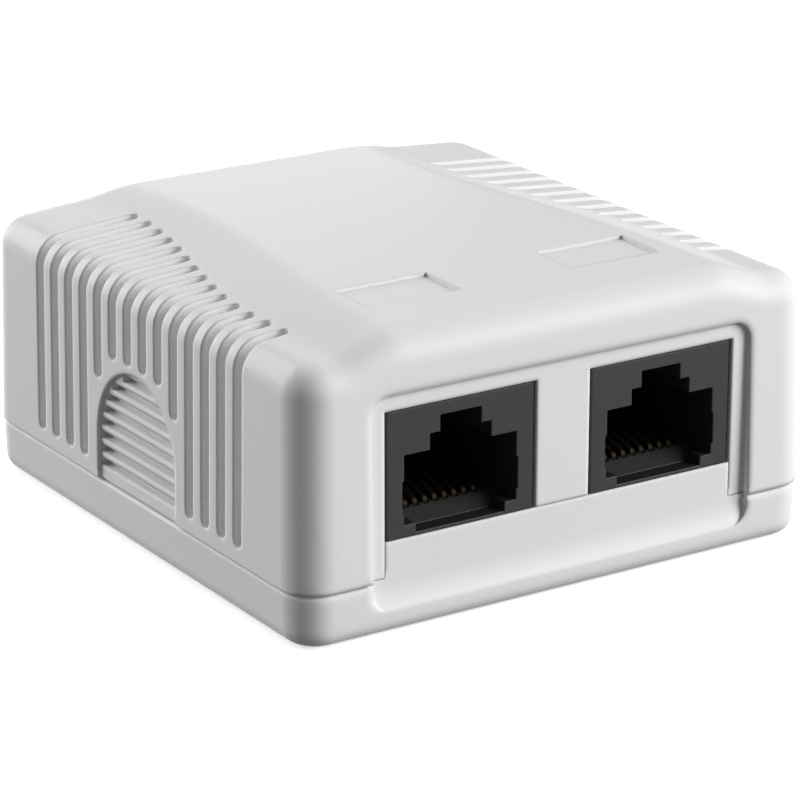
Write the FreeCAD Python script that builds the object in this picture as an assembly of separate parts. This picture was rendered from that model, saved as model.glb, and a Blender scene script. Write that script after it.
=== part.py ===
"""Surface mount jack box with two 8P8C sockets, for fixing to a wall or skirting board.

A flat base tray carries a circuit board on posts. Two socket shells stand at the front edge
of the board, each with a contact carrier and eight spring contacts, and two punch-down
blocks with eight slotted blades each stand behind them. A clip-on cover with ribbed
shoulders, a raised crown and a break-out arch in each side closes the box from above.

Frame: millimetres, +Z up, origin at the middle of the underside. The sockets face -Y.
"""
import FreeCAD, Part
import math
import os

V = FreeCAD.Vector
X_AXIS = V(1, 0, 0)
Y_AXIS = V(0, 1, 0)
Z_AXIS = V(0, 0, 1)
ORIGIN = V(0, 0, 0)

# --- driving dimensions -------------------------------------------------------------------

# case
case_width = 55.0
case_depth = 58.0
base_height = 5.2            # underside to the parting line
crown_height = 27.3          # highest line of the crown
shoulder_drop = 1.9          # ribbed shoulders, below the crown beside the outer edge
case_draft = 1.1             # degrees, walls lean in away from the parting line
corner_radius = 3.35         # upright corners
top_edge_radius = 2.8
corner_spare = 0.55          # the top edge's round stays this much below the corners'
bottom_edge_radius = 1.6
cover_wall = 2.0
inner_round_loss = 0.8       # inside rounds are smaller by this share of the wall
front_wall = 2.6             # the front carries the recessed panel, so it is thicker
roof_wall = 2.0
base_wall = 2.0
base_floor = 2.0
rim_gap = 0.25               # height of the shadow line all round the base rim
rim_gap_depth = 0.8
rim_round = 0.3              # edge under the shadow line
panel_line = 0.1             # height of the line between cover and base inside the panel
base_inset = 0.12            # the base is a little smaller than the cover all round

# shoulders and crown of the cover
shoulder_rise = 0.08         # shoulders climb inward by this slope
shoulder_edge = 4.0          # shoulder_height is measured this far in from the side
shoulder_back_width = 10.6   # from the side wall to the foot of the crown's ramp, at the back
shoulder_front_width = 5.1   # and at the front
ramp_back_width = 4.1        # from the ramp's foot to the crown's crease, at the back
ramp_front_width = 4.9       # and at the front
foot_bend_front = 13.0       # the foot swings in between these, before and behind the middle
foot_bend_back = 18.0
crease_bend_front = 28.1     # and the crease between these
crease_bend_back = 20.0
roof_row_pitch = 5.0         # the roof's poles stand at most this far apart, front to back
roof_round = 1.2             # half the width over which the roof bends at crease and foot
crown_fall = 0.0007          # the crown falls off as this times the square of the distance
crown_top_y = -5.0           # from its highest line

# recessed panel round the sockets
panel_border = 1.65          # beside the cut-outs
panel_head = 1.6             # above the cut-outs
panel_bottom = 2.3
panel_depth = 0.85           # behind the front face at the parting line
panel_corner = 1.8
panel_cove = 4.5             # radius of the curve that runs the panel's floor out at its foot

# label recesses in the crown, one above each socket
label_width = 9.5
label_length = 5.6
label_depth = 0.3
label_inset = 11.0           # from the front to the label's middle

# sockets
socket_gap = 5.8             # between the two socket shells
cutout_gap = 0.1             # beside each shell
cutout_head_gap = 0.12       # above each shell
sill_drop = 0.05             # from the board's top to the base's front sill
sill_setback = 0.1           # of the sill's back face behind the cover's front wall
sill_gap = 0.08              # each side, between sill and cover

# ribbed ventilation grooves over both shoulders
groove_count = 14
groove_pitch = 2.81
groove_width = 1.42
groove_depth = 1.1
groove_foot = 1.4            # from the parting line to the long grooves
groove_overrun = 0.3         # of the groove's inner end past the crown's foot

# break-out arch in each side wall
arch_half_width = 7.25
arch_rise = 4.55             # from the parting line to the centre of its round
arch_border = 1.5            # plain band left between the arch and the grooves beside it
arch_head_gap = 0.6          # and between its top and the middle grooves
arch_slot_pitch = 1.32
arch_slot_width = 0.8
arch_slot_depth = 1.15
arch_slot_foot = 1.61        # from the parting line to the middle of the lowest slot
arch_slot_head = 0.5         # least height of the arch above the highest slot's middle
arch_slit_length = 0.9       # tear slits at the ends of each slot
arch_slit_width = 0.36
arch_recess = 0.33           # the arch lies back from the wall by this

# joint between cover and base
lip_height = 1.5
lip_thickness = 1.2
lip_corner_loss = 1.0        # the lip's inside corners are tighter by this
lip_gap = 0.1
lip_board_gap = 0.4          # the lip opens for the board's front corners, with this to spare
tongue_width = 7.0
tongue_thickness = 1.3
tongue_reach = 2.6           # below the parting line
tongue_rise = 6.8            # from the parting line to where the tongue meets the wall
tongue_slope = 2.5           # height of the slope that runs its root out into the wall
tongue_lead = 0.4            # chamfer at its tip
tongue_inset = 11.5          # from the front and back to the middles of the tongues
tongue_gap = 0.15
tongue_foot_gap = 0.2

# circuit board
board_side_gap = 4.5         # between the board and the case's side
board_front_gap = 0.25       # behind the sill
board_length = 40.0
board_thickness = 1.6
board_corner = 1.0
board_top = 8.45

# board posts and screws
post_diameter = 6.0
post_inset = 3.2             # corner posts, from the board's edges
boss_diameter = 5.6
screw_hole = 2.9             # in the board
pilot_hole = 2.0             # in the bosses
pilot_depth = 4.4
screw_shank = 2.0
screw_length = 5.6
screw_head_diameter = 4.8
screw_head_height = 1.7
screw_head_round = 0.8       # height of the head's round
screw_tip_chamfer = 0.4
screw_recess_width = 2.6
screw_recess_depth = 1.0
screw_blade_thickness = 0.7
front_screw_inset = 8.05     # from the board's front edge
rear_screw_inset = 3.45      # from its back edge

# socket shell
shell_wall = 1.95            # beside the plug
shell_roof = 1.18            # above the latch
shell_length = 18.0
shell_setback = 0.1          # behind the recessed panel
shell_edge = 0.25
shell_tail_drop = 1.2        # the opening behind the carrier is lower than its block by this
plug_width = 11.7
plug_height = 6.4
plug_rise = 1.15             # from the board to the two corner tabs the plug lies on
plug_depth = 13.2
plug_relief = 0.175          # the opening is wider by this on each side at mid height
plug_relief_foot = 1.0       # from the tabs to the relief
plug_relief_height = 3.0
step_width = 6.4             # first step above the plug
step_height = 1.5
latch_width = 4.3            # second step, for the latch
latch_height = 1.5
mouth_depth = 1.6            # from the shell's face to the carrier between its corner tabs
mouth_floor = 0.3            # thickness of the shell's floor there
mouth_tab = 1.2

# contact carrier inside the shell
carrier_gap = 0.1            # on each side, in the plug's opening
carrier_plate = 1.4          # thickness of the plate under the plug
carrier_lip = 0.3            # height of its front edge
carrier_slope = 1.6          # length of the slope behind that edge
carrier_block_length = 3.0   # upright block behind the plug
carrier_block_height = 6.75
comb_slot = 0.63             # slots for the contacts in the plate and the block
comb_front = 1.2             # from the foot of the arms forward to the end of the slots
comb_depth = 1.35            # of the slots in the block
comb_rise = 0.6              # from the plate to the slots in the block

# spring contacts
contact_count = 8
contact_pitch = 1.02
contact_width = 0.42
contact_thickness = 0.26
contact_bend = 0.5           # half the height of the hairpin at the lip
contact_tail_bend = 0.5      # radii of the wire's middle line: above the tail,
contact_hairpin_low = 0.42   # and at the two turns of the hairpin
contact_hairpin_high = 0.36
contact_setback = 2.75       # from the carrier's front edge to the foot of the arm
contact_hairpin = 0.9        # from there forward to the hairpin
contact_lift = 0.15          # clear space between the arm and the track
contact_angle = 21.0         # degrees, spring arm above the plate
contact_arm = 8.6
contact_cover = 0.65         # from the track's middle up to the carrier plate's top
contact_row_a = 2.2          # solder tails, in front of the shell's rear face
contact_row_b = 4.7
solder_tail = 2.4            # below the board's top face
tail_hole = 0.9

# punch-down blocks
block_width = 13.0
block_length = 16.6
block_height = 11.0
block_base = 5.4             # solid part below the rows
block_channel = 4.4          # between the two rows
block_gap = 3.3              # behind the socket shells
block_edge = 0.5
wire_positions = 4
wire_pitch = 3.9
wire_slot = 1.3
wire_slot_depth = 5.0
wire_mouth = 2.3             # flared top of each wire slot
wire_flare = 1.4             # height of the flare
blade_width = 2.7
blade_thickness = 0.5
blade_height = 7.6
blade_slot = 0.35
blade_slot_depth = 4.2
blade_mouth = 0.77           # width of the slot at the very top
blade_lead = 0.6             # height of the flare below it
blade_corner = 0.4
blade_drop = 0.6             # below the block's top
blade_tail_width = 0.7

# base floor
cable_hole_width = 13.0
cable_hole_length = 9.0
cable_hole_inset = 8.0       # from the back to the hole's middle
cable_hole_corner = 1.5
wall_screw_side_inset = 10.0 # from the side to the hole's middle
wall_screw_back_inset = 9.0  # and from the back
wall_screw_bore = 4.2
wall_screw_head = 8.0
wall_screw_slot = 2.4        # the holes are slots, longer than wide by this
wall_boss_height = 1.4       # above the floor
wall_boss_margin = 0.5       # of the boss round the screw's head
wall_boss_corner = 3.0
tie_post_width = 3.0
tie_post_length = 4.6
tie_post_height = 3.4
tie_post_round = 0.9
tie_slot_width = 2.8
tie_slot_height = 1.5
tie_post_gap = 0.6           # beside the cable hole
pad_width = 32.0
pad_length = 26.0
pad_thickness = 0.8
pad_corner = 2.0
pad_y = -6.0

# --- derived places -----------------------------------------------------------------------

half_width = case_width / 2
half_depth = case_depth / 2
draft = math.tan(math.radians(case_draft))
eave_radius = min(top_edge_radius, corner_radius - corner_spare)
lip_corner = corner_radius - inner_round_loss * cover_wall
front_y = -half_depth
shoulder_height = crown_height - shoulder_drop
panel_y = front_y + panel_depth
sill_back_y = front_y + front_wall + sill_setback
label_y = front_y + label_inset
tongue_y = half_depth - tongue_inset

plug_floor = board_top + plug_rise
plug_top = plug_floor + plug_height
step_top = plug_top + step_height
latch_top = step_top + latch_height
shell_top = latch_top + shell_roof
shell_width = plug_width + 2 * shell_wall
shell_front_y = panel_y + shell_setback
shell_back_y = shell_front_y + shell_length
plug_back_y = shell_front_y + plug_depth
carrier_width = plug_width - 2 * carrier_gap
carrier_front_y = shell_front_y + mouth_depth
carrier_back_y = plug_back_y + carrier_block_length
carrier_plate_top = board_top + carrier_plate
carrier_block_top = board_top + carrier_block_height
contact_track = carrier_plate_top - contact_cover

socket_pitch = shell_width + socket_gap
cutout_width = shell_width + 2 * cutout_gap
cutout_top = shell_top + cutout_head_gap
sill_top = board_top - sill_drop
sill_half_width = socket_pitch / 2 + cutout_width / 2
panel_half_width = sill_half_width + panel_border
panel_top = cutout_top + panel_head

board_width = case_width - 2 * board_side_gap
board_front_y = sill_back_y + board_front_gap
board_back_y = board_front_y + board_length
board_bottom = board_top - board_thickness
front_screw_y = board_front_y + front_screw_inset
rear_screw_y = board_back_y - rear_screw_inset
block_y = shell_back_y + block_gap + block_length / 2
block_top = board_top + block_height
blade_top = block_top - blade_drop

cable_hole_y = half_depth - cable_hole_inset
wall_screw_x = half_width - wall_screw_side_inset
wall_screw_y = half_depth - wall_screw_back_inset
tie_post_x = cable_hole_width / 2 + tie_post_gap + tie_post_width / 2

root_z = base_floor / 2      # posts and bosses are rooted this high, inside the floor
groove_bottom = base_height + groove_foot
tongue_top = base_height + tongue_rise
arch_center_z = base_height + arch_rise
arch_top = arch_center_z + arch_half_width
arch_first_slot = base_height + arch_slot_foot
arch_slots = int((arch_top - arch_slot_head - arch_first_slot) / arch_slot_pitch) + 1
sides = {"left": -1, "right": 1}


# allowances of the cutting tools, which leave no mark of their own
over = 1.0                   # past a face that a tool goes through
far_out = 4.0                # past the case's outside
touch = 0.001                # overlap between tools that meet on one face


# --- small building blocks ----------------------------------------------------------------

def box(x0, x1, y0, y1, z0, z1):
    return Part.makeBox(x1 - x0, y1 - y0, z1 - z0, V(x0, y0, z0))


def cylinder_z(x, y, z0, z1, diameter):
    return Part.makeCylinder(diameter / 2, z1 - z0, V(x, y, z0), Z_AXIS)


def fuse_all(shapes):
    joined = shapes[0]
    if len(shapes) > 1:
        joined = joined.multiFuse(shapes[1:])
    return joined.removeSplitter()


def cut_all(body, cutters):
    return body.cut(cutters)


def one_solid(shape):
    """The largest solid of a result that may come back as a compound."""
    return max(shape.Solids, key=lambda solid: solid.Volume)


def mirror_x(shape):
    return shape.mirror(ORIGIN, X_AXIS)


def rounded_rectangle(width, length, radius, z):
    """Closed wire about the origin: four sides and four tangent corner arcs, from the front
    left corner on."""
    x, y = width / 2, length / 2
    back_off = radius * (1 - math.sqrt(0.5))
    ends = [V(-x + radius, -y, z), V(x - radius, -y, z), V(x, -y + radius, z),
            V(x, y - radius, z), V(x - radius, y, z), V(-x + radius, y, z),
            V(-x, y - radius, z), V(-x, -y + radius, z)]
    mids = [V(x - back_off, -y + back_off, z), V(x - back_off, y - back_off, z),
            V(-x + back_off, y - back_off, z), V(-x + back_off, -y + back_off, z)]
    edges = []
    for k in range(4):
        start, bend, after = ends[2 * k], ends[2 * k + 1], ends[(2 * k + 2) % 8]
        edges.append(Part.makeLine(start, bend))
        edges.append(Part.Arc(bend, mids[k], after).toShape())
    return Part.Wire(edges)


def rounded_plate(width, length, radius, z0, z1, x=0.0, y=0.0):
    outline = rounded_rectangle(width, length, radius, z0)
    plate = Part.Face(outline).extrude(V(0, 0, z1 - z0))
    plate.translate(V(x, y, 0))
    return plate


def polygon_prism(points, direction):
    """Extrude the closed polygon through the points along the vector."""
    return Part.Face(Part.makePolygon(points + [points[0]])).extrude(direction)


def edges_where(shape, test):
    return [edge for edge in shape.Edges if test(edge.BoundBox)]


def smooth_step(start, end, value):
    """0 before start, 1 after end, and an S-curve with level ends between them."""
    share = min(max((value - start) / (end - start), 0.0), 1.0)
    return share * share * (3 - 2 * share)


# --- cover --------------------------------------------------------------------------------

def foot_half(y):
    """Half width of the line where the crown's ramp meets the shoulders."""
    along = smooth_step(-foot_bend_front, foot_bend_back, y)
    shoulder = shoulder_front_width + (shoulder_back_width - shoulder_front_width) * along
    return half_width - shoulder


def crease_half(y):
    """Half width of the line where the crown's ramp meets its flat top."""
    along = smooth_step(-crease_bend_front, crease_bend_back, y)
    front_half = half_width - shoulder_front_width - ramp_front_width
    back_half = half_width - shoulder_back_width - ramp_back_width
    return front_half + (back_half - front_half) * along


def shoulder_z(x):
    return shoulder_height + shoulder_rise * (half_width - shoulder_edge - abs(x))


def roof_z(x, y):
    """Height of the moulded roof, before its creases are rounded: shoulders, a straight ramp,
    and the crown."""
    crown = crown_height - crown_fall * (y - crown_top_y) ** 2
    foot, crease = foot_half(y), crease_half(y)
    climb = min(max((foot - abs(x)) / (foot - crease), 0.0), 1.0)
    return shoulder_z(x) + (crown - shoulder_z(x)) * climb


def roof_stations(y, reach):
    """Distances from the middle line, close together on both sides of the ramp's crease and
    foot so that the roof bends there and is straight elsewhere."""
    foot, crease = foot_half(y), crease_half(y)
    offsets = [-roof_round, -roof_round / 3, roof_round / 3, roof_round]
    at_crease = [crease + offset for offset in offsets]
    at_foot = [foot + offset for offset in offsets]
    middle = [(crease + foot) / 2]
    outer = [(foot + roof_round + reach) / 2, reach]
    return [0.0, crease / 2] + at_crease + middle + at_foot + outer


def sky(drop):
    """Everything above the roof, lowered by drop: the tool that shapes the cover's top. The
    roof is a cubic surface drawn by its poles."""
    reach_x, reach_y = half_width + far_out, half_depth + far_out
    rows = 2 * math.ceil(reach_y / roof_row_pitch) + 1
    lines = []
    for j in range(rows):
        y = reach_y * (2 * j / (rows - 1) - 1)
        right = roof_stations(y, reach_x)
        stations = [-x for x in reversed(right[1:])] + right
        lines.append([V(x, y, roof_z(x, y) - drop) for x in stations])
    grid = [list(column) for column in zip(*lines)]
    knots = [list(range(len(side) - 2)) for side in (grid, lines)]
    counts = [[4] + [1] * (len(side) - 4) + [4] for side in (grid, lines)]
    surface = Part.BSplineSurface()
    surface.buildFromPolesMultsKnots(grid, counts[0], counts[1], knots[0], knots[1],
                                     False, False, 3, 3)
    return surface.toShape().extrude(V(0, 0, crown_height))


def cover_form(side, front, roof, start_z):
    """The cover's solid form inside walls of the given thickness: a drafted block under the
    roof, with a round all along its top edge."""
    top_z = crown_height + far_out
    blocks = []
    for z in (start_z, top_z):
        lean = (z - base_height) * draft
        wire = rounded_rectangle(case_width - 2 * side - 2 * lean,
                                 case_depth - side - front - 2 * lean,
                                 corner_radius - inner_round_loss * side, z)
        wire.translate(V(0, (front - side) / 2, 0))
        blocks.append(wire)
    block = Part.makeLoft(blocks, True, True)
    block = one_solid(block.cut(sky(roof)))
    low = shoulder_height - roof - eave_radius
    rim = edges_where(block, lambda b: b.ZMin > low and b.ZLength < eave_radius)
    return block.makeFillet(eave_radius - inner_round_loss * side, rim)


def groove_core():
    """The shoulder's own section, inset by the depth of the grooves and run front to back:
    the grooves stop at it."""
    wall_low = half_width - groove_depth + base_height * draft
    eave_x = half_width - groove_depth - (shoulder_height - base_height) * draft
    y = front_y - far_out
    outline = [V(0, y, 0), V(wall_low, y, 0), V(eave_x, y, shoulder_z(eave_x) - groove_depth),
               V(0, y, shoulder_z(0) - groove_depth)]
    core = polygon_prism(outline, V(0, case_depth + 2 * far_out, 0))
    eave = edges_where(core, lambda b: b.XMin > eave_x - over and b.YLength > case_depth
                       and b.ZMin > base_height)
    return core.makeFillet(eave_radius - groove_depth, eave)


def groove_low_end(y):
    """Where a groove ends on the wall: near the parting line, or above the arch."""
    offset = abs(y)
    ring = arch_half_width + arch_border
    if offset > arch_half_width + groove_width / 2:
        return groove_bottom
    over_arch = arch_center_z + math.sqrt(ring * ring - offset * offset)
    return min(over_arch, arch_top + arch_head_gap)


def right_groove(y):
    """One groove on the right-hand side: up the wall, over the edge, and in to the crown's
    foot, with round ends."""
    half = groove_width / 2
    low = groove_low_end(y) + half
    tip = foot_half(y) - groove_overrun + half
    inner = max(tip, half_width - 2 * groove_depth)
    outside = half_width + far_out
    sky_z = crown_height + far_out
    across_z = shoulder_height - eave_radius - over
    upright = box(inner, outside, y - half, y + half, low, sky_z)
    low_end = Part.makeCylinder(half, outside - inner, V(inner, y, low), X_AXIS)
    across = box(tip, outside, y - half, y + half, across_z, sky_z)
    tip_end = cylinder_z(tip, y, across_z, sky_z, groove_width)
    return fuse_all([upright, low_end, across, tip_end])


def groove_cutters():
    core = groove_core()
    cutters = []
    for k in range(groove_count):
        y = (k - (groove_count - 1) / 2) * groove_pitch
        cutter = right_groove(y).cut(core)
        cutters.append(cutter)
        cutters.append(mirror_x(cutter))
    return cutters


def arch_recess_cutter():
    """Tool that lays the arch back from the right-hand wall, leaning as the wall leans."""
    x = half_width - arch_recess
    left, right = V(x, -arch_half_width, arch_center_z), V(x, arch_half_width, arch_center_z)
    low_left, low_right = V(x, -arch_half_width, 0), V(x, arch_half_width, 0)
    edges = [Part.makeLine(low_left, left), Part.Arc(left, V(x, 0, arch_top), right).toShape(),
             Part.makeLine(right, low_right), Part.makeLine(low_right, low_left)]
    prism = Part.Face(Part.Wire(edges)).extrude(V(far_out, 0, 0))
    prism.rotate(V(x, 0, base_height), Y_AXIS, -case_draft)
    return prism


def arch_cutters():
    """Recess, slots and tear slits of the break-out arch in the right-hand wall."""
    outside = half_width + far_out
    cutters = [arch_recess_cutter()]
    for k in range(arch_slots):
        z = arch_first_slot + k * arch_slot_pitch
        above = max(z + arch_slot_width / 2 - arch_center_z, 0.0)
        reach = math.sqrt(arch_half_width ** 2 - above ** 2)
        face_x = half_width - (z - base_height) * draft
        low, high = z - arch_slot_width / 2, z + arch_slot_width / 2
        cutters.append(box(face_x - arch_slot_depth, outside, -reach, reach, low, high))
        for end in (-1, 1):
            near, far = sorted((end * (reach - arch_slit_length), end * reach))
            cutters.append(box(half_width - cover_wall - over, outside, near, far,
                               z - arch_slit_width / 2, z + arch_slit_width / 2))
    return cutters


def panel_cutter(bottom_z, top_z, round_top):
    """Tool for the recessed front panel between two heights; the ends named by round_top
    have round corners."""
    tool = box(-panel_half_width, panel_half_width, front_y - far_out, panel_y, bottom_z,
               top_z)
    level = top_z if round_top else bottom_z
    corners = edges_where(tool, lambda b: b.YLength > over and abs(b.ZMin - level) < touch)
    return tool.makeFillet(panel_corner, corners)


def base_panel_cutter():
    """The panel's foot on the base: round corners, and a floor that curves out to the wall."""
    top_z, outside_y = base_height + far_out, front_y - far_out
    tool = panel_cutter(panel_bottom, top_z, False)
    wall_y = front_y + base_inset + (base_height - panel_bottom) * draft
    back_off = panel_cove - (panel_y - wall_y)
    rise = math.sqrt(panel_cove ** 2 - back_off ** 2)
    half_turn = math.asin(rise / panel_cove) / 2
    center_y, bend_z = panel_y - panel_cove, panel_bottom + rise
    middle = V(0, center_y + panel_cove * math.cos(half_turn),
               bend_z - panel_cove * math.sin(half_turn))
    bend, foot = V(0, panel_y, bend_z), V(0, wall_y, panel_bottom)
    low, high, back = V(0, outside_y, panel_bottom), V(0, outside_y, top_z), V(0, panel_y, top_z)
    edges = [Part.Arc(bend, middle, foot).toShape(), Part.makeLine(foot, low),
             Part.makeLine(low, high), Part.makeLine(high, back), Part.makeLine(back, bend)]
    sweep = Part.Face(Part.Wire(edges)).extrude(V(case_width, 0, 0))
    sweep.translate(V(-half_width, 0, 0))
    return tool.common(sweep)


def label_cutter(x):
    """A shallow rectangular recess that follows the crown's surface."""
    column = box(x - label_width / 2, x + label_width / 2, label_y - label_length / 2,
                 label_y + label_length / 2, shoulder_height, crown_height + far_out)
    return column.common(sky(label_depth))


def cover_tongue():
    """Locating tongue inside the right-hand wall, which slides down inside the base wall."""
    wall_x = half_width - base_wall - base_inset - lip_gap
    inner_x = wall_x - tongue_thickness
    low = base_height - tongue_reach
    under = box(inner_x, wall_x, tongue_y - tongue_width / 2, tongue_y + tongue_width / 2,
                low, base_height)
    profile = [V(inner_x, 0, base_height), V(half_width - cover_wall / 2, 0, base_height),
               V(half_width - cover_wall / 2, 0, tongue_top),
               V(half_width - cover_wall - (tongue_top - base_height) * draft, 0, tongue_top),
               V(inner_x, 0, tongue_top - tongue_slope)]
    root = polygon_prism(profile, V(0, tongue_width, 0))
    root.translate(V(0, tongue_y - tongue_width / 2, 0))
    lead = edges_where(under, lambda b: b.YLength > over and b.ZMax < low + touch)
    return fuse_all([under.makeChamfer(tongue_lead, lead), root])


def make_cover():
    outer = cover_form(0.0, 0.0, 0.0, base_height)
    opening_low = base_height - over
    hollow = cover_form(cover_wall, front_wall, roof_wall, opening_low)
    body = outer.cut(hollow)
    cutters = groove_cutters()
    for part in arch_cutters():
        cutters.append(part)
        cutters.append(mirror_x(part))
    cutters.append(panel_cutter(opening_low, panel_top, True))
    inside_y = front_y + front_wall + over
    notch = box(-sill_half_width, sill_half_width, front_y - far_out, inside_y,
                opening_low, sill_top + sill_gap)
    cutters.append(notch)
    for sign in sides.values():
        x = sign * socket_pitch / 2
        cutters.append(box(x - cutout_width / 2, x + cutout_width / 2, front_y - far_out,
                           inside_y, opening_low, cutout_top))
        cutters.append(label_cutter(x))
    body = one_solid(cut_all(body, cutters))
    tongues = []
    for end in (-1, 1):
        tongue = cover_tongue()
        if end < 0:
            tongue = tongue.mirror(ORIGIN, Y_AXIS)
        tongues.append(tongue)
        tongues.append(mirror_x(tongue))
    return one_solid(fuse_all([body] + tongues))


# --- base ---------------------------------------------------------------------------------

def base_form():
    """Drafted tray outside, with a shadow line left open all round its rim."""
    wires = []
    rim_z = base_height - rim_gap
    for z in (0.0, rim_z):
        lean = base_inset + (base_height - z) * draft
        wires.append(rounded_rectangle(case_width - 2 * lean, case_depth - 2 * lean,
                                       corner_radius - lean, z))
    block = Part.makeLoft(wires, True, True)
    under = edges_where(block, lambda b: b.ZMax < touch)
    block = block.makeFillet(bottom_edge_radius, under)
    rim = edges_where(block, lambda b: b.ZMin > rim_z - touch)
    block = block.makeFillet(rim_round, rim)
    neck = rounded_plate(case_width - 2 * rim_gap_depth, case_depth - 2 * rim_gap_depth,
                         corner_radius - rim_gap_depth, base_floor, base_height)
    return fuse_all([block, neck])


def base_lip():
    """Upstanding lip inside the cover's walls, open at the front and at the four tongues."""
    side = cover_wall + lip_gap
    height = base_height + lip_height
    width = case_width - 2 * side
    length = case_depth - side - front_wall - lip_gap
    lip_back_y = front_y + front_wall + lip_gap + lip_thickness
    middle_y = (front_wall - cover_wall) / 2
    lip = rounded_plate(width, length, lip_corner, base_floor, height, 0, middle_y)
    inner = rounded_plate(width - 2 * lip_thickness, length - 2 * lip_thickness,
                          lip_corner - lip_corner_loss, base_floor - over, height + over, 0,
                          middle_y)
    lip = lip.cut(inner)
    half = tongue_width / 2 + tongue_gap
    tongue_slot_x = half_width - side - lip_thickness - tongue_thickness
    front_half = board_width / 2 + lip_board_gap
    gaps = [box(-front_half, front_half, front_y, lip_back_y + over,
                base_height - touch, height + over)]
    for sign_x in (-1, 1):
        for sign_y in (-1, 1):
            x0, x1 = sorted((sign_x * tongue_slot_x, sign_x * half_width))
            y0, y1 = sorted((sign_y * (tongue_y - half), sign_y * (tongue_y + half)))
            gaps.append(box(x0, x1, y0, y1, base_height - tongue_reach - tongue_foot_gap,
                            height + over))
    return lip.cut(gaps)


def base_sill():
    """The part of the front wall that rises between the cover's feet and carries the mouths."""
    edge = sill_half_width - sill_gap
    return box(-edge, edge, panel_y, sill_back_y, base_floor, sill_top)


def board_post_places():
    x = board_width / 2 - post_inset
    return [(sx * x, y) for sx in (-1, 1)
            for y in (board_front_y + post_inset, board_back_y - post_inset)]


def screw_places():
    return [(0.0, front_screw_y), (0.0, rear_screw_y)]


def wall_screw_cutters():
    """Two countersunk slots for wall screws, long in X."""
    top = base_floor + wall_boss_height
    bore, head = wall_screw_bore / 2, wall_screw_head / 2
    sink = head - bore
    reach = wall_screw_slot / 2
    cutters = []
    for sign in (-1, 1):
        x = sign * wall_screw_x
        for end in (x - reach, x + reach):
            cutters.append(cylinder_z(end, wall_screw_y, -over, top + over,
                                      wall_screw_bore))
            cutters.append(Part.makeCone(bore, head, sink, V(end, wall_screw_y, top - sink),
                                         Z_AXIS))
        cutters.append(box(x - reach, x + reach, wall_screw_y - bore, wall_screw_y + bore,
                           -over, top + over))
        groove = [V(x - reach, wall_screw_y - bore, top - sink),
                  V(x - reach, wall_screw_y + bore, top - sink),
                  V(x - reach, wall_screw_y + head, top),
                  V(x - reach, wall_screw_y - head, top)]
        cutters.append(polygon_prism(groove, V(2 * reach, 0, 0)))
    return cutters


def tie_post(x):
    """Moulded bridge that a cable tie passes through."""
    half = tie_post_width / 2
    length = tie_post_length / 2
    top = base_floor + tie_post_height
    post = box(x - half, x + half, wall_screw_y - length, wall_screw_y + length,
               root_z, top)
    upper = edges_where(post, lambda b: b.XLength > over and b.ZMin > top - touch)
    post = post.makeFillet(tie_post_round, upper)
    slot = box(x - half - over, x + half + over, wall_screw_y - tie_slot_width / 2,
               wall_screw_y + tie_slot_width / 2, base_floor,
               base_floor + tie_slot_height)
    return post.cut(slot)


def make_base():
    body = base_form()
    tray = rounded_plate(case_width - 2 * (base_wall + base_inset),
                         case_depth - 2 * (base_wall + base_inset),
                         lip_corner, base_floor, base_height + far_out)
    body = body.cut(tray)
    body = body.cut(base_panel_cutter())
    added = [body, base_lip(), base_sill()]
    backing = box(-panel_half_width - over, panel_half_width + over, panel_y, sill_back_y,
                  root_z, base_height)
    added.append(backing)
    for x, y in board_post_places():
        added.append(cylinder_z(x, y, root_z, board_bottom, post_diameter))
    for x, y in screw_places():
        added.append(cylinder_z(x, y, root_z, board_bottom, boss_diameter))
    boss_width = wall_screw_head + 2 * wall_boss_margin
    for sign in (-1, 1):
        added.append(rounded_plate(boss_width + wall_screw_slot, boss_width,
                                   wall_boss_corner, root_z, base_floor + wall_boss_height,
                                   sign * wall_screw_x, wall_screw_y))
        added.append(tie_post(sign * tie_post_x))
    body = fuse_all(added)
    cutters = wall_screw_cutters()
    for sign in (-1, 1):
        near, far = sorted((sign * sill_half_width, sign * panel_half_width))
        cutters.append(box(near, far, front_y, panel_y + rim_gap_depth,
                           base_height - panel_line, base_height + over))
    for x, y in screw_places():
        cutters.append(cylinder_z(x, y, board_bottom - pilot_depth, board_bottom + over,
                                  pilot_hole))
    cutters.append(rounded_plate(cable_hole_width, cable_hole_length, cable_hole_corner,
                                 -over, base_floor + over, 0, cable_hole_y))
    cutters.append(rounded_plate(pad_width, pad_length, pad_corner, -over, pad_thickness, 0,
                                 pad_y))
    return one_solid(cut_all(body, cutters))


def make_pad():
    """Double-sided foam pad, flush in its recess under the base."""
    return rounded_plate(pad_width, pad_length, pad_corner, 0, pad_thickness, 0, pad_y)


# --- board, screws ------------------------------------------------------------------------

def board_hole(x, y, diameter):
    return cylinder_z(x, y, board_bottom - over, board_top + over, diameter)


def make_board():
    middle_y = (board_front_y + board_back_y) / 2
    board = rounded_plate(board_width, board_length, board_corner, board_bottom, board_top,
                          0, middle_y)
    holes = []
    for x, y in screw_places():
        holes.append(board_hole(x, y, screw_hole))
    for sign in sides.values():
        for number in range(contact_count):
            x, y = contact_place(sign, number)
            holes.append(board_hole(x, y, tail_hole))
            x, y = blade_place(sign, number)
            holes.append(board_hole(x, y, tail_hole))
    return one_solid(board.cut(holes))


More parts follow.
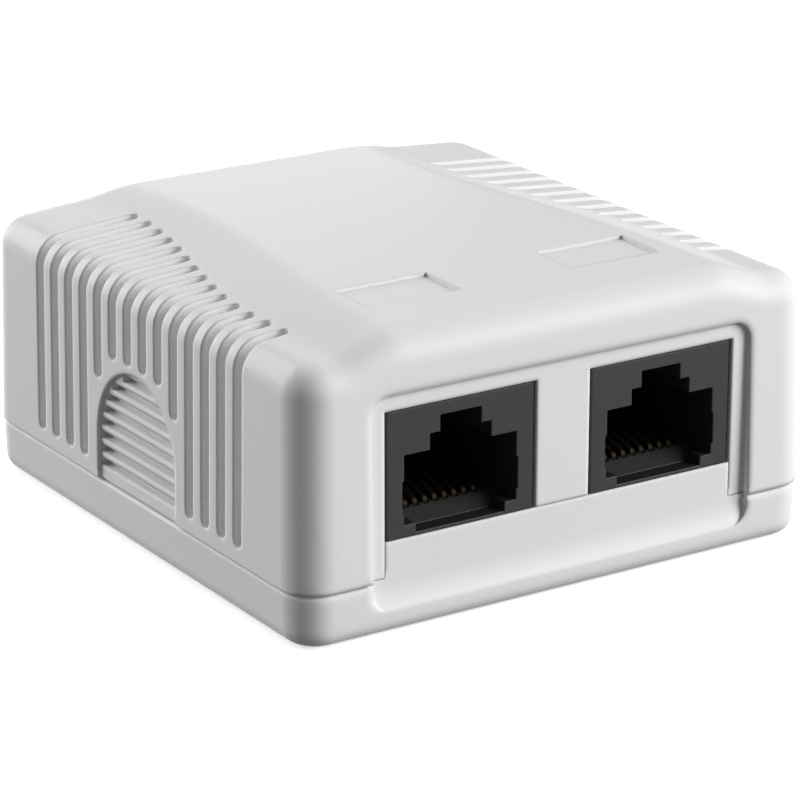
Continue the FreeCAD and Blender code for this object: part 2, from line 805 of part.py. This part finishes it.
def make_screw(x, y):
    """Pan-head thread-forming screw with a cross recess."""
    radius = screw_head_diameter / 2
    top = board_top + screw_head_height
    tip = board_top - screw_length
    flat = radius / 2
    side_top = top - screw_head_round
    profile = [V(0, 0, tip), V(screw_shank / 2 - screw_tip_chamfer, 0, tip),
               V(screw_shank / 2, 0, tip + screw_tip_chamfer), V(screw_shank / 2, 0, board_top),
               V(radius, 0, board_top), V(radius, 0, side_top)]
    edges = [Part.makeLine(a, b) for a, b in zip(profile, profile[1:])]
    slant = math.sqrt(0.5)
    bulge = V(flat + slant * (radius - flat), 0, side_top + slant * screw_head_round)
    edges.append(Part.Arc(profile[-1], bulge, V(flat, 0, top)).toShape())
    edges.append(Part.makeLine(V(flat, 0, top), V(0, 0, top)))
    edges.append(Part.makeLine(V(0, 0, top), profile[0]))
    screw = Part.Face(Part.Wire(edges)).revolve(ORIGIN, Z_AXIS, 360)
    reach, blade = screw_recess_width / 2, screw_blade_thickness / 2
    floor = top - screw_recess_depth
    cross = [box(-reach, reach, -blade, blade, floor, top + over),
             box(-blade, blade, -reach, reach, floor, top + over)]
    screw = one_solid(screw.cut(cross))
    screw.translate(V(x, y, 0))
    return screw


# --- sockets ------------------------------------------------------------------------------

def make_shell(sign):
    """Socket shell: a block with the stepped plug opening, a sunk mouth floor between two
    corner tabs, and a bay for the contact carrier that is open below and behind."""
    x = sign * socket_pitch / 2
    body = box(x - shell_width / 2, x + shell_width / 2, shell_front_y, shell_back_y,
               board_top, shell_top)
    upright = edges_where(body, lambda b: b.ZLength > over)
    body = body.makeChamfer(shell_edge, upright)

    def bore(width, low, high):
        return box(x - width / 2, x + width / 2, shell_front_y - over, plug_back_y, low, high)

    relief_low = plug_floor + plug_relief_foot
    cutters = [bore(latch_width, step_top - touch, latch_top),
               bore(step_width, plug_top - touch, step_top),
               bore(plug_width, plug_floor, plug_top),
               bore(plug_width + 2 * plug_relief, relief_low, relief_low + plug_relief_height)]
    inner = plug_width / 2 - mouth_tab
    under = board_top - over
    cutters.append(box(x - inner, x + inner, shell_front_y - over, carrier_front_y,
                       board_top + mouth_floor, plug_floor + over))
    bay = carrier_width / 2
    cutters.append(box(x - bay, x + bay, carrier_front_y, carrier_back_y, under,
                       carrier_plate_top))
    cutters.append(box(x - bay, x + bay, plug_back_y - touch, carrier_back_y, under,
                       carrier_block_top))
    cutters.append(box(x - bay, x + bay, carrier_back_y - touch, shell_back_y + over, under,
                       carrier_block_top - shell_tail_drop))
    return one_solid(cut_all(body, cutters))


def contact_place(sign, number):
    """Solder hole of one spring contact, in two staggered rows."""
    x = sign * socket_pitch / 2 + (number - (contact_count - 1) / 2) * contact_pitch
    row = contact_row_a if number % 2 else contact_row_b
    return x, shell_back_y - row


def bent_strip(points, radii, width, thickness):
    """Flat strip bent along straight runs and tangent arcs in a YZ plane, about X = 0."""
    edges = []
    start = points[0]
    for before, corner, after, radius in zip(points, points[1:], points[2:], radii):
        arrive = (corner - before).normalize()
        leave = (after - corner).normalize()
        half_turn = arrive.getAngle(leave) / 2
        back_off = radius * math.tan(half_turn)
        enter = corner - arrive * back_off
        leave_at = corner + leave * back_off
        inward = (leave - arrive).normalize()
        center = corner + inward * (radius / math.cos(half_turn))
        middle = center - inward * radius
        edges.append(Part.makeLine(start, enter))
        edges.append(Part.Arc(enter, middle, leave_at).toShape())
        start = leave_at
    edges.append(Part.makeLine(start, points[-1]))
    path = Part.Wire(edges)
    first = (points[1] - points[0]).normalize()
    across = first.cross(X_AXIS).normalize() * (thickness / 2)
    side = X_AXIS * (width / 2)
    corners = [points[0] - side - across, points[0] + side - across,
               points[0] + side + across, points[0] - side + across]
    profile = Part.makePolygon(corners + [corners[0]])
    return one_solid(path.makePipeShell([profile], True, False))


def make_contact(sign, number):
    """Spring contact: solder tail, track along the carrier's plate, hairpin round the front
    lip, and the spring arm that a plug presses down."""
    x, tail_y = contact_place(sign, number)
    turn_y = carrier_front_y + contact_setback
    angle = math.radians(contact_angle)
    arm_end = V(0, turn_y + contact_arm * math.cos(angle),
                contact_track + contact_lift + contact_arm * math.sin(angle))
    turn = V(0, turn_y - contact_hairpin, contact_track)
    lift = V(0, turn_y - contact_hairpin, contact_track + 2 * contact_bend)
    points = [V(0, tail_y, board_top - solder_tail), V(0, tail_y, contact_track), turn, lift,
              arm_end]
    radii = [contact_tail_bend, contact_hairpin_low, contact_hairpin_high]
    contact = bent_strip(points, radii, contact_width, contact_thickness)
    contact.translate(V(x, 0, 0))
    return contact


def make_carrier(sign, contacts):
    """Contact carrier: a plate with a sloped front lip under the plug and an upright comb
    block behind it, moulded round the contacts."""
    x = sign * socket_pitch / 2
    half = carrier_width / 2
    top = carrier_plate_top
    outline = [V(0, carrier_front_y, board_top),
               V(0, carrier_front_y, board_top + carrier_lip),
               V(0, carrier_front_y + carrier_slope, top), V(0, plug_back_y, top),
               V(0, plug_back_y, carrier_block_top), V(0, carrier_back_y, carrier_block_top),
               V(0, carrier_back_y, board_top)]
    body = polygon_prism(outline, V(carrier_width, 0, 0))
    body.translate(V(x - half, 0, 0))
    slots = []
    for number in range(contact_count):
        slot_x = contact_place(sign, number)[0]
        low_x, high_x = slot_x - comb_slot / 2, slot_x + comb_slot / 2
        slots.append(box(low_x, high_x, carrier_front_y + contact_setback - comb_front,
                         plug_back_y - over, contact_track + contact_thickness / 2, top + over))
        slots.append(box(low_x, high_x, plug_back_y - over, plug_back_y + comb_depth,
                         top + comb_rise, carrier_block_top + over))
    body = body.cut(slots)
    return one_solid(body.cut(contacts))


# --- punch-down blocks --------------------------------------------------------------------

def blade_place(sign, number):
    """Middle of one slotted blade: four along each of the block's two rows."""
    row = -1 if number < wire_positions else 1
    row_width = (block_width - block_channel) / 2
    x = sign * socket_pitch / 2 + row * (block_channel + row_width) / 2
    along = number % wire_positions - (wire_positions - 1) / 2
    return x, block_y + along * wire_pitch


def make_blade(sign, number):
    """Flat blade with a wire slot at the top and a solder tail below."""
    x, y = blade_place(sign, number)
    top = blade_top
    low = top - blade_height
    half, tail, slot = blade_width / 2, blade_tail_width / 2, blade_slot / 2
    slot_floor, lead_z = top - blade_slot_depth, top - blade_lead
    bevel, bevel_z = half - blade_corner, top - blade_corner
    mouth = blade_mouth / 2
    tip = board_top - solder_tail
    outline = [V(0, -tail, tip), V(0, tail, tip), V(0, tail, low), V(0, half, low),
               V(0, half, bevel_z), V(0, bevel, top), V(0, mouth, top), V(0, slot, lead_z),
               V(0, slot, slot_floor), V(0, -slot, slot_floor), V(0, -slot, lead_z),
               V(0, -mouth, top), V(0, -bevel, top), V(0, -half, bevel_z),
               V(0, -half, low), V(0, -tail, low)]
    blade = polygon_prism(outline, V(blade_thickness, 0, 0))
    blade.translate(V(x - blade_thickness / 2, y, 0))
    return blade


def make_block(sign, blades):
    """Punch-down block: two rows of towers with flared wire slots, moulded with pockets that
    hold the blades."""
    x = sign * socket_pitch / 2
    half, length = block_width / 2, block_length / 2
    channel = block_channel / 2
    base_z, top = board_top + block_base, block_top
    outline = [V(-half, 0, board_top), V(half, 0, board_top), V(half, 0, top - block_edge),
               V(half - block_edge, 0, top), V(channel + block_edge, 0, top),
               V(channel, 0, top - block_edge), V(channel, 0, base_z), V(-channel, 0, base_z),
               V(-channel, 0, top - block_edge), V(-channel - block_edge, 0, top),
               V(-half + block_edge, 0, top), V(-half, 0, top - block_edge)]
    body = polygon_prism(outline, V(0, block_length, 0))
    body.translate(V(x, block_y - length, 0))
    floor = top - wire_slot_depth
    cutters = []
    for position in range(wire_positions):
        y = blade_place(sign, position)[1]
        narrow, wide = wire_slot / 2, wire_mouth / 2
        start_x, flare_z = -half - over, top - wire_flare
        slot = [V(start_x, y - narrow, floor), V(start_x, y + narrow, floor),
                V(start_x, y + narrow, flare_z), V(start_x, y + wide, top),
                V(start_x, y + wide, top + over), V(start_x, y - wide, top + over),
                V(start_x, y - wide, top), V(start_x, y - narrow, flare_z)]
        tool = polygon_prism(slot, V(block_width + 2 * over, 0, 0))
        tool.translate(V(x, 0, 0))
        cutters.append(tool)
    body = body.cut(cutters)
    pockets = []
    for number in range(2 * wire_positions):
        px, py = blade_place(sign, number)
        low = blade_top - blade_height
        near, far = px - blade_thickness / 2, px + blade_thickness / 2
        pockets.append(box(near, far, py - blade_width / 2, py + blade_width / 2, low,
                           top + over))
        pockets.append(box(near, far, py - blade_tail_width / 2, py + blade_tail_width / 2,
                           board_top - over, low + touch))
    return one_solid(body.cut(pockets))


# --- export -------------------------------------------------------------------------------

def build_nodes():
    nodes = {"base": make_base(), "cover": make_cover(), "adhesive_pad": make_pad(),
             "circuit_board": make_board()}
    for name, (x, y) in zip(("front", "rear"), screw_places()):
        nodes["board_screw_" + name] = make_screw(x, y)
    for side, sign in sides.items():
        contacts = [make_contact(sign, number) for number in range(contact_count)]
        blades = [make_blade(sign, number) for number in range(2 * wire_positions)]
        nodes["socket_shell_" + side] = make_shell(sign)
        nodes["contact_carrier_" + side] = make_carrier(sign, contacts)
        nodes["punch_block_" + side] = make_block(sign, blades)
        for number, shape in enumerate(contacts, 1):
            nodes[f"spring_contact_{side}_{number}"] = shape
        for number, shape in enumerate(blades, 1):
            nodes[f"punch_blade_{side}_{number}"] = shape
    return nodes


os.makedirs("parts", exist_ok=True)
for node, shape in build_nodes().items():
    shape.exportStep("parts/" + node + ".step")
    print(node, round(shape.Volume, 2), shape.isValid(), len(shape.Solids), len(shape.Faces))
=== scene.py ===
"""Looks of the surface mount jack box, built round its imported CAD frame. Metres, +Z up."""
import math

import bpy
import numpy as np
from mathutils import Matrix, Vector


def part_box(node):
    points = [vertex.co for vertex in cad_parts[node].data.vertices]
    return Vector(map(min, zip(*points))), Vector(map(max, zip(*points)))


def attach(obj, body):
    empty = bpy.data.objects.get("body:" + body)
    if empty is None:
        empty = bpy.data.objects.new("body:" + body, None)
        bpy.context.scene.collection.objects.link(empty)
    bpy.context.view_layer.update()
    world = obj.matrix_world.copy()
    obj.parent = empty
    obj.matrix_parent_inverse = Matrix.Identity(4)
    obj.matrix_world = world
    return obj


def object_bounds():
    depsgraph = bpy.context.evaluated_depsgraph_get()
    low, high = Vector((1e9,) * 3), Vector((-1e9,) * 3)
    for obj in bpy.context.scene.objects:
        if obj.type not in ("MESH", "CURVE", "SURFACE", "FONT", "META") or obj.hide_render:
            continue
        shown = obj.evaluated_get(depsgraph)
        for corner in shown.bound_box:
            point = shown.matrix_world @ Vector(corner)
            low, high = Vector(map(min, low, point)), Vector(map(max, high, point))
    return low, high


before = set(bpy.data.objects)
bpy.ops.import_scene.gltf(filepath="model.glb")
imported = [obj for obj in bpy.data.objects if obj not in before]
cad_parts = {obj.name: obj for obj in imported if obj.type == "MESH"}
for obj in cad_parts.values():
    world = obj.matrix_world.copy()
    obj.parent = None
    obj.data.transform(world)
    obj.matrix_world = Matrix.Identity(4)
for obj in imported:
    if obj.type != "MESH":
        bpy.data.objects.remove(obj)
cad_box = [list(corner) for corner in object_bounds()]

# --- Studio -------------------------------------------------------------------------------
# A pale table and two large soft lamps: one behind on the left, one in front on the right,
# with a small weak card behind on the right. Between the two lamps the corner nearest the
# camera faces the dark of the room.

case_low, case_high = (Vector(corner) for corner in cad_box)
case_middle = (case_low + case_high) / 2


def direction(azimuth, elevation):
    """Unit vector from the object: azimuth 0 is the sockets' side, 90 is +X."""
    around, up = math.radians(azimuth), math.radians(elevation)
    return Vector((math.sin(around) * math.cos(up), -math.cos(around) * math.cos(up),
                   math.sin(up)))


def aim(obj, place, target):
    """Puts an object in its place, looking at the target."""
    obj.location = place
    obj.rotation_euler = (target - place).to_track_quat("-Z", "Y").to_euler()
    bpy.context.scene.collection.objects.link(obj)


def soft_lamp(name, azimuth, elevation, distance, width, height, power):
    """A rectangular softbox that points at the middle of the box."""
    lamp = bpy.data.lights.new(name, "AREA")
    lamp.shape = "RECTANGLE"
    lamp.size, lamp.size_y = width, height
    lamp.energy = power
    place = case_middle + direction(azimuth, elevation) * distance
    aim(bpy.data.objects.new(name, lamp), place, case_middle)


view_azimuth, view_elevation, view_distance = -32.761, 19.239, 0.3431
view_target = case_middle + Vector((0.00174, 0.0010, -0.0046))
camera_data = bpy.data.cameras.new("camera")
camera_data.sensor_width = 36.0
camera_data.lens = 162.46
camera_data.clip_start = 0.01
camera = bpy.data.objects.new("camera", camera_data)
aim(camera, view_target + direction(view_azimuth, view_elevation) * view_distance, view_target)
bpy.context.scene.camera = camera

soft_lamp("left_softbox", azimuth=-150, elevation=23.0, distance=0.9,
          width=0.80, height=0.62, power=8.6)
soft_lamp("right_softbox", azimuth=45, elevation=22.0, distance=0.9,
          width=0.58, height=0.58, power=9.2)
soft_lamp("back_card", azimuth=156, elevation=9.4, distance=1.0,
          width=0.347, height=0.265, power=0.33)


class Signal:
    """A shader socket that adds, subtracts, multiplies and divides by adding Math nodes."""

    def __init__(self, tree, socket):
        self.tree, self.socket = tree, socket

    def combine(self, operation, first, second):
        node = self.tree.nodes.new("ShaderNodeMath")
        node.operation = operation
        for place, value in zip(node.inputs, (first, second)):
            plug(self.tree, place, value)
        return Signal(self.tree, node.outputs[0])

    def __add__(self, other):
        return self.combine("ADD", self, other)

    def __sub__(self, other):
        return self.combine("SUBTRACT", self, other)

    def __mul__(self, other):
        return self.combine("MULTIPLY", self, other)

    def __truediv__(self, other):
        return self.combine("DIVIDE", self, other)

    def __rsub__(self, other):
        return self.combine("SUBTRACT", other, self)

    def __rtruediv__(self, other):
        return self.combine("DIVIDE", other, self)

    def __abs__(self):
        return self.combine("ABSOLUTE", self, 0.0)

    __radd__, __rmul__ = __add__, __mul__

    def clipped(self):
        return self.combine("MINIMUM", self.combine("MAXIMUM", self, 0.0), 1.0)


def plug(tree, socket, value):
    """Links a signal to a socket, or sets the socket's own value."""
    if isinstance(value, Signal):
        tree.links.new(value.socket, socket)
    else:
        socket.default_value = value


class Finish:
    """A material's node tree, grown node by node."""

    def __init__(self, name, owner=None):
        self.data = owner or bpy.data.materials.new(name)
        self.data.use_nodes = True
        self.tree = self.data.node_tree
        self.tree.nodes.clear()

    def add(self, kind, settings=None, sockets=None, output=0):
        """One node: its settings are set first, then its sockets' values or links."""
        node = self.tree.nodes.new("ShaderNode" + kind)
        for name, value in (settings or {}).items():
            if name == "stops":
                ramp = node.color_ramp
                for stop, (position, color) in enumerate(value):
                    element = (ramp.elements[stop] if stop < 2
                               else ramp.elements.new(position))
                    element.position, element.color = position, color
            else:
                setattr(node, name, value)
        for name, value in (sockets or {}).items():
            plug(self.tree, node.inputs[name], value)
        return Signal(self.tree, node.outputs[output]) if len(node.outputs) else None

    def place(self):
        return self.add("TexCoord", output="Object")

    def noise(self, where, scale, detail=2.0, roughness=0.5):
        return self.add("TexNoise", {"noise_dimensions": "3D"},
                        {"Vector": where, "Scale": scale, "Detail": detail,
                         "Roughness": roughness})

    def blend(self, share, first, second):
        return self.add("Mix", {"data_type": "RGBA"}, {0: share, 6: first, 7: second}, 2)

    def bump(self, height, distance, strength=1.0, normal=None):
        sockets = {"Height": height, "Distance": distance, "Strength": strength}
        if normal is not None:
            sockets["Normal"] = normal
        return self.add("Bump", None, sockets)

    def surface(self, **sockets):
        """A Principled surface; socket names are written with underscores."""
        named = {name.replace("_", " "): value for name, value in sockets.items()}
        return self.add("BsdfPrincipled", None, named)

    def done(self, shader):
        kind = "World" if isinstance(self.data, bpy.types.World) else "Material"
        self.add("Output" + kind, None, {"Surface": shader})
        return self.data

    def seen_by(self, *names):
        """1 for the named kinds of ray, and 0 for all others."""
        total = None
        for name in names:
            part = self.add("LightPath", output=name)
            total = part if total is None else total + part
        return total.clipped()


room_fill, paper_white = 0.19, 1.0
room = Finish("room", bpy.data.worlds.new("room"))
dim = room.add("Background", None, {"Color": (1, 1, 1, 1), "Strength": room_fill})
white = room.add("Background", None, {"Color": (1, 1, 1, 1), "Strength": paper_white})
bpy.context.scene.world = room.done(room.add("MixShader", None, {
    0: room.seen_by("Is Camera Ray"), 1: dim, 2: white}))
bpy.context.scene.view_settings.view_transform = "Standard"

table_reach = 3.0
table_mesh = bpy.data.meshes.new("table_top")
edge = np.array([-table_reach, table_reach])
corner_x, corner_y = (grid.ravel() for grid in np.meshgrid(edge, edge))
table_mesh.from_pydata(np.stack([corner_x, corner_y, 0 * corner_x], 1), [], [(0, 1, 3, 2)])
table_top = bpy.data.objects.new("table_top", table_mesh)
bpy.context.scene.collection.objects.link(table_top)

pale = Finish("pale_table")
table_bounce, table_shade, table_glow = 0.13, 0.62, 0.66
matt = pale.add("BsdfDiffuse", None, {"Color": (*[table_bounce] * 3, 1)})
lit = pale.add("BsdfDiffuse", None, {"Color": (*[table_shade] * 3, 1)})
glow = pale.add("Emission", None, {"Color": (1, 1, 1, 1), "Strength": table_glow})
shown = pale.add("AddShader", None, {0: lit, 1: glow})
table_mesh.materials.append(pale.done(pale.add("MixShader", None, {
    0: pale.seen_by("Is Camera Ray", "Is Glossy Ray"), 1: matt, 2: shown})))


# --- Case: base and cover -----------------------------------------------------------------
# Injection moulded white ABS from a polished tool. The surface is smooth and satin-glossy,
# with a slight waviness from the mould, and every edge carries a small radius. The cover
# clips into the base with four tongues.

def dress(node, material):
    """Gives a CAD node its finish."""
    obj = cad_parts[node]
    obj.data.materials.clear()
    obj.data.materials.append(material)
    return obj


case_white = Finish("case_white")
where = case_white.place()
cloud = case_white.noise(where, 55.0, 3.0)
speck = case_white.noise(where, 2600.0, 2.0)
color = case_white.blend(cloud, (0.805, 0.815, 0.81, 1), (0.82, 0.83, 0.825, 1))
x, y, z = (case_white.add("SeparateXYZ", None, {"Vector": where}, axis) for axis in "XYZ")
seam_height, seam_reach, seam_slope = 0.0052, 0.0005, 4000.0
panel_border, front_reach, rim_slope = 0.0012, 0.002, 3000.0
sharp_edge, soft_edge, panel_edge = 0.00012, 0.00038, 0.0006
off_seam = ((abs(z - seam_height) - seam_reach) * seam_slope).clipped()
shell_low, shell_high = (Vector(corner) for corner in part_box("socket_shell_right"))
beyond = abs(x) - shell_high.x - panel_border
beyond = beyond.combine("MAXIMUM", beyond, z - shell_high.z - panel_border)
rim = (beyond * rim_slope).clipped() * ((case_low.y + front_reach - y) * rim_slope).clipped()
edges = case_white.add("Bevel", {"samples": 12}, {
    "Radius": sharp_edge + soft_edge * off_seam + panel_edge * rim})
wave = case_white.bump(cloud, 0.00003, 0.4, edges)
grain = case_white.bump(speck, 0.000001, 0.5, wave)
case_white.done(case_white.surface(Base_Color=color, Roughness=0.24 + 0.04 * speck,
                                   Normal=grain, IOR=1.17))
for node in ("base", "cover"):
    dress(node, case_white.data)


# --- Socket shells and contact carriers ---------------------------------------------------
# Black moulded thermoplastic with a fine eroded texture. The shells are pressed into the
# board, and each holds a sloped carrier of the same plastic for its contacts.

socket_black = Finish("socket_black")
where = socket_black.place()
speck = socket_black.noise(where, 5200.0, 3.0)
color = socket_black.blend(speck, (0.0115, 0.0150, 0.0130, 1), (0.0185, 0.0220, 0.0195, 1))
edges = socket_black.add("Bevel", {"samples": 6}, {"Radius": 0.00022})
socket_black.done(socket_black.surface(
    Base_Color=color, Roughness=0.42 + 0.12 * speck, IOR=1.42,
    Normal=socket_black.bump(speck, 0.00001, 0.5, edges)))
for side in ("left", "right"):
    dress("socket_shell_" + side, socket_black.data)
    dress("contact_carrier_" + side, socket_black.data)


# --- Spring contacts ----------------------------------------------------------------------
# Phosphor bronze wire, drawn and then gold plated. Eight lie side by side on each carrier,
# and their tails are soldered into the board. Their gold is painted nearly black: painted shade
# for the dark socket mouths.

contact_gold = Finish("contact_gold")
where = contact_gold.place()
drawn = contact_gold.noise(where, 3000.0, 2.0)
# Painted shade: the gold's base colour is darkened almost to black to stand for the shade inside
# the socket mouths.
color = contact_gold.blend(drawn, (0.018, 0.013, 0.008, 1), (0.030, 0.022, 0.013, 1))
contact_gold.done(contact_gold.surface(
    Base_Color=color, Metallic=1.0, Roughness=0.55 + 0.1 * drawn,
    Normal=contact_gold.bump(drawn, 0.000004, 0.5)))
for side in ("left", "right"):
    for number in range(1, 9):
        dress(f"spring_contact_{side}_{number}", contact_gold.data)


# --- Punch-down blocks and blades ---------------------------------------------------------
# Pale moulded blocks that stand on the board behind the sockets. The slotted blades in them
# are stamped bronze with a tin plating, soldered under the board.

block_pale = Finish("block_pale")
where = block_pale.place()
speck = block_pale.noise(where, 1800.0, 3.0)
color = block_pale.blend(speck, (0.60, 0.59, 0.54, 1), (0.68, 0.67, 0.62, 1))
block_pale.done(block_pale.surface(
    Base_Color=color, Roughness=0.4 + 0.1 * speck,
    Normal=block_pale.bump(speck, 0.000008, 0.5)))
blade_tin = Finish("blade_tin")
where = blade_tin.place()
rolled = blade_tin.noise(where, 2400.0, 3.0)
color = blade_tin.blend(rolled, (0.60, 0.60, 0.58, 1), (0.78, 0.78, 0.76, 1))
blade_tin.done(blade_tin.surface(
    Base_Color=color, Metallic=1.0, Roughness=0.3 + 0.2 * rolled,
    Normal=blade_tin.bump(rolled, 0.000004, 0.5)))
for side in ("left", "right"):
    dress("punch_block_" + side, block_pale.data)
    for number in range(1, 9):
        dress(f"punch_blade_{side}_{number}", blade_tin.data)


# --- Circuit board and its screws ---------------------------------------------------------
# Glass-fibre board under green solder mask, with copper tracks and white outlines printed
# round the sockets and the blocks. Two zinc-plated screws hold it to the base.

board_low, board_high = (Vector(corner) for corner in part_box("circuit_board"))
block_low, block_high = (Vector(corner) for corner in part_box("punch_block_right"))
contact_gap, track_share, track_slope = 0.00102, 0.24, 10.0
track_field, field_slope = 0.0043, 6000.0
print_away, print_width, print_slope = 0.0006, 0.00009, 30000.0

mask_green = Finish("mask_green")
where = mask_green.place()
weave = mask_green.noise(where, 2200.0, 2.0)
x, y, z = (mask_green.add("SeparateXYZ", None, {"Vector": where}, axis) for axis in "XYZ")
from_socket = abs(x) - (shell_low.x + shell_high.x) / 2
beside = abs((from_socket / contact_gap).combine("FRACT", from_socket / contact_gap, 0.0) - 0.5)
track = ((track_share - beside) * track_slope).clipped() * (
    (track_field - abs(from_socket)) * field_slope).clipped()
copper = mask_green.blend(weave, (0.03, 0.20, 0.075, 1), (0.04, 0.24, 0.09, 1))
plain = mask_green.blend(weave, (0.014, 0.10, 0.036, 1), (0.022, 0.14, 0.05, 1))
color = mask_green.blend(track, plain, copper)
outlines = None
for low, high in ((shell_low, shell_high), (block_low, block_high)):
    past_x = abs(from_socket) - (high.x - low.x) / 2
    past_y = abs(y - (low.y + high.y) / 2) - (high.y - low.y) / 2
    line = abs(past_x.combine("MAXIMUM", past_x, past_y) - print_away)
    line = ((print_width - line) * print_slope).clipped()
    outlines = line if outlines is None else (outlines + line).clipped()
color = mask_green.blend(outlines, color, (0.72, 0.72, 0.68, 1))
skin, skin_slope = 0.00004, 60000.0
inside = ((board_high.z - skin - z) * skin_slope).clipped() * (
    (z - board_low.z - skin) * skin_slope).clipped()
color = mask_green.blend(inside, color, (0.46, 0.40, 0.20, 1))
mask_green.done(mask_green.surface(
    Base_Color=color, Roughness=0.28 + 0.1 * weave, Coat_Weight=0.3,
    Normal=mask_green.bump(weave * 0.15 + track, 0.00003, 0.6)))
dress("circuit_board", mask_green.data)
zinc = Finish("zinc")
where = zinc.place()
spangle = zinc.noise(where, 900.0, 3.0)
color = zinc.blend(spangle, (0.52, 0.53, 0.55, 1), (0.70, 0.71, 0.72, 1))
zinc.done(zinc.surface(Base_Color=color, Metallic=1.0, Roughness=0.28 + 0.2 * spangle))
for end in ("front", "rear"):
    dress("board_screw_" + end, zinc.data)


# --- Solder joints ------------------------------------------------------------------------
# A bright concave fillet of solder round every tail under the board, where the spring
# contacts and the blades come through.

def solder_joints(places, top, height, foot, tip, rings=10, around=20):
    """One mesh of fillets of revolution. Along the profile, from share 0 at the board to 1 at
    the tail, the height falls evenly and the radius is the tip's plus the cube of what is left
    of the share times the foot's excess over the tip's."""
    share, turn = np.meshgrid(np.linspace(0, 1, rings),
                              np.linspace(0, 2 * np.pi, around, endpoint=False))
    radius = tip + (foot - tip) * (1 - share) ** 3
    ring_x, ring_y, ring_z = radius * np.cos(turn), radius * np.sin(turn), top - height * share
    start = np.arange(around) * rings
    here, beside = (line[:, None] + np.arange(rings - 1) for line in (start, np.roll(start, -1)))
    walls = np.stack([here, here + 1, beside + 1, beside], -1).reshape(-1, 4)
    points, faces = [], []
    for place_x, place_y in places:
        first = len(points) * rings * around
        points.append(np.stack([ring_x + place_x, ring_y + place_y, ring_z], -1).reshape(-1, 3))
        faces += (walls + first).tolist() + [(start + rings - 1 + first).tolist()]
    mesh = bpy.data.meshes.new("solder_joints")
    mesh.from_pydata(np.concatenate(points).tolist(), [], faces)
    mesh.shade_smooth()
    joints = bpy.data.objects.new("solder_joints", mesh)
    bpy.context.scene.collection.objects.link(joints)
    return joints


tail_inset = 0.00013
tails = []
for side in ("left", "right"):
    for number in range(1, 9):
        low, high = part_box(f"spring_contact_{side}_{number}")
        tails.append(((low[0] + high[0]) / 2, high[1] - tail_inset))
        low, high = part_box(f"punch_blade_{side}_{number}")
        tails.append(((low[0] + high[0]) / 2, (low[1] + high[1]) / 2))
joints = solder_joints(tails, board_low.z, height=0.00055, foot=0.00072, tip=0.00040)
solder = Finish("solder")
where = solder.place()
frost = solder.noise(where, 3500.0, 2.0)
color = solder.blend(frost, (0.62, 0.62, 0.63, 1), (0.76, 0.76, 0.77, 1))
joints.data.materials.append(solder.done(solder.surface(
    Base_Color=color, Metallic=1.0, Roughness=0.2 + 0.15 * frost,
    Normal=solder.bump(frost, 0.000005, 0.5))))
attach(joints, "base")


# --- Foam pad -----------------------------------------------------------------------------
# Closed-cell foam tape, cut to fit the recess under the base and stuck in it. Its other
# face sticks the box to the wall.

foam = Finish("foam")
where = foam.place()
cells = foam.add("TexVoronoi", {"feature": "F1"}, {"Vector": where, "Scale": 2200.0})
color = foam.blend(cells, (0.62, 0.62, 0.60, 1), (0.78, 0.78, 0.76, 1))
foam.done(foam.surface(Base_Color=color, Roughness=0.85,
                       Normal=foam.bump(cells, 0.00005, 0.6)))
dress("adhesive_pad", foam.data)
